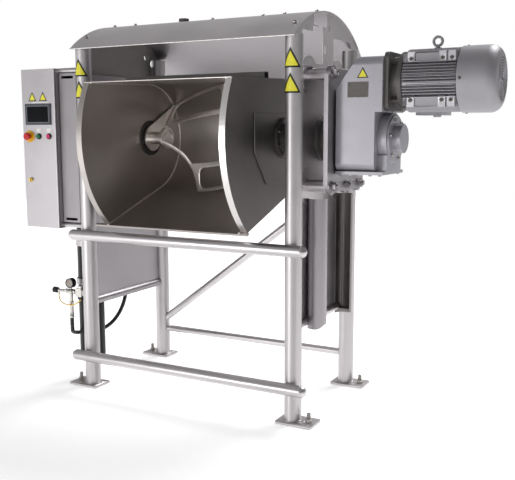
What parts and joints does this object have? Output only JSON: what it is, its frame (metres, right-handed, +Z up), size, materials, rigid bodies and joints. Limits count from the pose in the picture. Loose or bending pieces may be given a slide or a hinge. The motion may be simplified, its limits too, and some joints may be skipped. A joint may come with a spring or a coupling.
{
  "type": "horizontal mixer",
  "caption": "Floor-standing food mixer: a tipping trough bowl with windowed twisted blades hangs in a tube frame under a curved hood, driven by a gearmotor; control cabinet on one side.",
  "frame": {"origin": "floor level, at the centre of the rectangle of the leg axes", "axes": "+X to the right along the shaft, towards the gearmotor; +Y to the back, away from the mouth of the tipped bowl; +Z up"},
  "size_m": [2.296, 1.0017, 1.826],
  "materials": {
    "stainless_tube": "bead-blasted and satin stainless pipe",
    "stainless_sheet": "satin stainless sheet",
    "stainless_polished": "polished stainless sheet inside the bowl",
    "steel_hardware": "turned and zinc-plated steel",
    "grey_paint": "semi-gloss grey machine enamel on cast aluminium",
    "dark_cast": "dark painted casting",
    "black_paint": "satin black enamel",
    "rod_chrome": "ground and hard-chromed rod",
    "nickel_fittings": "nickel-plated brass fittings",
    "black_plastic": "moulded black plastic",
    "screen_plastic": "screen in a dark plastic bezel",
    "sign_yellow": "bare yellow vinyl",
    "label_plate": "pale label plates and yellow disc",
    "red_plastic": "red plastic",
    "green_plastic": "green plastic",
    "lock_brass": "brass lock barrel",
    "hose_rubber": "black rubber hose",
    "yellow_tube": "thin yellow plastic tube",
    "plate_metal": "bare etched plate"
  },
  "bodies": {
    "frame": {"leg_front_left": "stainless_tube", "leg_front_right": "stainless_tube", "leg_rear_left": "stainless_tube", "leg_rear_right": "stainless_tube", "anchor_bolts": "steel_hardware", "rail_upper": "stainless_tube", "rail_lower": "stainless_tube", "rear_bracing": "stainless_tube", "side_plate_left": "stainless_sheet", "side_plate_right": "stainless_sheet", "hood_sheet": "stainless_sheet", "hood_end_left": "stainless_sheet", "hood_end_right": "stainless_sheet", "warning_signs": "sign_yellow", "spacer_tubes": "stainless_tube", "carrier_plate": "stainless_sheet", "pipe_guards": "stainless_tube", "gearbox_housing": "grey_paint", "output_cover": "grey_paint", "nameplate": "plate_metal", "motor_adapter": "dark_cast", "motor_frame": "grey_paint", "fan_cowl": "grey_paint", "bearings": "steel_hardware", "tilt_barrel": "black_paint", "barrel_clamps": "stainless_tube", "drive_housing": "stainless_sheet", "cabinet_box": "stainless_sheet", "air_regulator": "nickel_fittings", "air_manifold": "nickel_fittings", "gauge_case": "black_plastic", "air_hose": "hose_rubber", "air_line": "yellow_tube"},
    "bowl": {"bowl_shell": "stainless_sheet", "bowl_wall_left": "stainless_sheet", "bowl_wall_right": "stainless_sheet", "bowl_stiffener": "dark_cast", "trunnion_left": "stainless_tube", "trunnion_right": "stainless_tube", "trunnion_bolts": "steel_hardware", "tilt_sector": "steel_hardware", "shaft_seals": "black_plastic"},
    "agitator": {"agitator_blades": "stainless_polished", "agitator_hub_left": "stainless_polished", "agitator_hub_right": "stainless_polished"},
    "motor_rotor": {"motor_rotor": "black_plastic"},
    "tilt_rod": {"tilt_rod": "rod_chrome"},
    "cabinet_door": {"cabinet_door": "stainless_sheet", "hmi_panel": "screen_plastic", "door_labels": "label_plate", "button_rings": "steel_hardware"},
    "door_lock": {"door_lock": "lock_brass"},
    "emergency_stop": {"estop_head": "red_plastic"},
    "start_button": {"start_button": "green_plastic"},
    "stop_button": {"stop_button": "red_plastic"},
    "drive_cover": {"drive_cover": "stainless_sheet"},
    "vent_cap": {"vent_cap": "black_plastic"},
    "air_knob": {"air_knob": "black_plastic"},
    "gauge_needle": {"gauge_needle": "red_plastic"}
  },
  "joints": [
    {"name": "bowl_tilt", "type": "hinge", "parent": "frame", "child": "bowl", "pos_m": [0, -0.01, 1.246], "axis": [-1, 0, 0], "range_deg": [0, 100.5]},
    {"name": "agitator_spin", "type": "hinge", "parent": "frame", "child": "agitator", "pos_m": [0, -0.01, 1.246], "axis": [1, 0, 0], "continuous": true},
    {"name": "motor_spin", "type": "hinge", "parent": "frame", "child": "motor_rotor", "pos_m": [1.2, -0.01, 1.491], "axis": [1, 0, 0], "continuous": true},
    {"name": "tilt_lift", "type": "slide", "parent": "frame", "child": "tilt_rod", "axis": [0, 0, 1], "range_m": [0, 0.2877]},
    {"name": "door_hinge", "type": "hinge", "parent": "frame", "child": "cabinet_door", "pos_m": [-0.722, -0.35, 1.19], "axis": [0, 0, 1], "range_deg": [0, 100]},
    {"name": "lock_turn", "type": "hinge", "parent": "cabinet_door", "child": "door_lock", "pos_m": [-0.891, -0.35, 1.038], "axis": [0, 1, 0], "range_deg": [0, 90]},
    {"name": "emergency_press", "type": "slide", "parent": "cabinet_door", "child": "emergency_stop", "axis": [0, 1, 0], "range_m": [0, 0.005], "stiffness_N_per_m": 2500},
    {"name": "start_press", "type": "slide", "parent": "cabinet_door", "child": "start_button", "axis": [0, 1, 0], "range_m": [0, 0.003], "stiffness_N_per_m": 1500},
    {"name": "stop_press", "type": "slide", "parent": "cabinet_door", "child": "stop_button", "axis": [0, 1, 0], "range_m": [0, 0.003], "stiffness_N_per_m": 1500},
    {"name": "cover_pull", "type": "slide", "parent": "frame", "child": "drive_cover", "axis": [0, -1, 0], "range_m": [0, 0.02]},
    {"name": "vent_lift", "type": "slide", "parent": "frame", "child": "vent_cap", "axis": [0, 0, 1], "range_m": [0, 0.03]},
    {"name": "knob_turn", "type": "hinge", "parent": "frame", "child": "air_knob", "pos_m": [-0.795, -0.311, 0.47], "axis": [1, 0, 0], "range_deg": [0, 180]},
    {"name": "needle_turn", "type": "hinge", "parent": "frame", "child": "gauge_needle", "pos_m": [-0.694, -0.322, 0.514], "axis": [0, 1, 0], "range_deg": [0, 200]}
  ],
  "couplings": [
    {"joint": "motor_spin", "follows": "agitator_spin", "ratio": 28},
    {"joint": "tilt_lift", "follows": "bowl_tilt", "m_per_rad": 0.164}
  ]
}
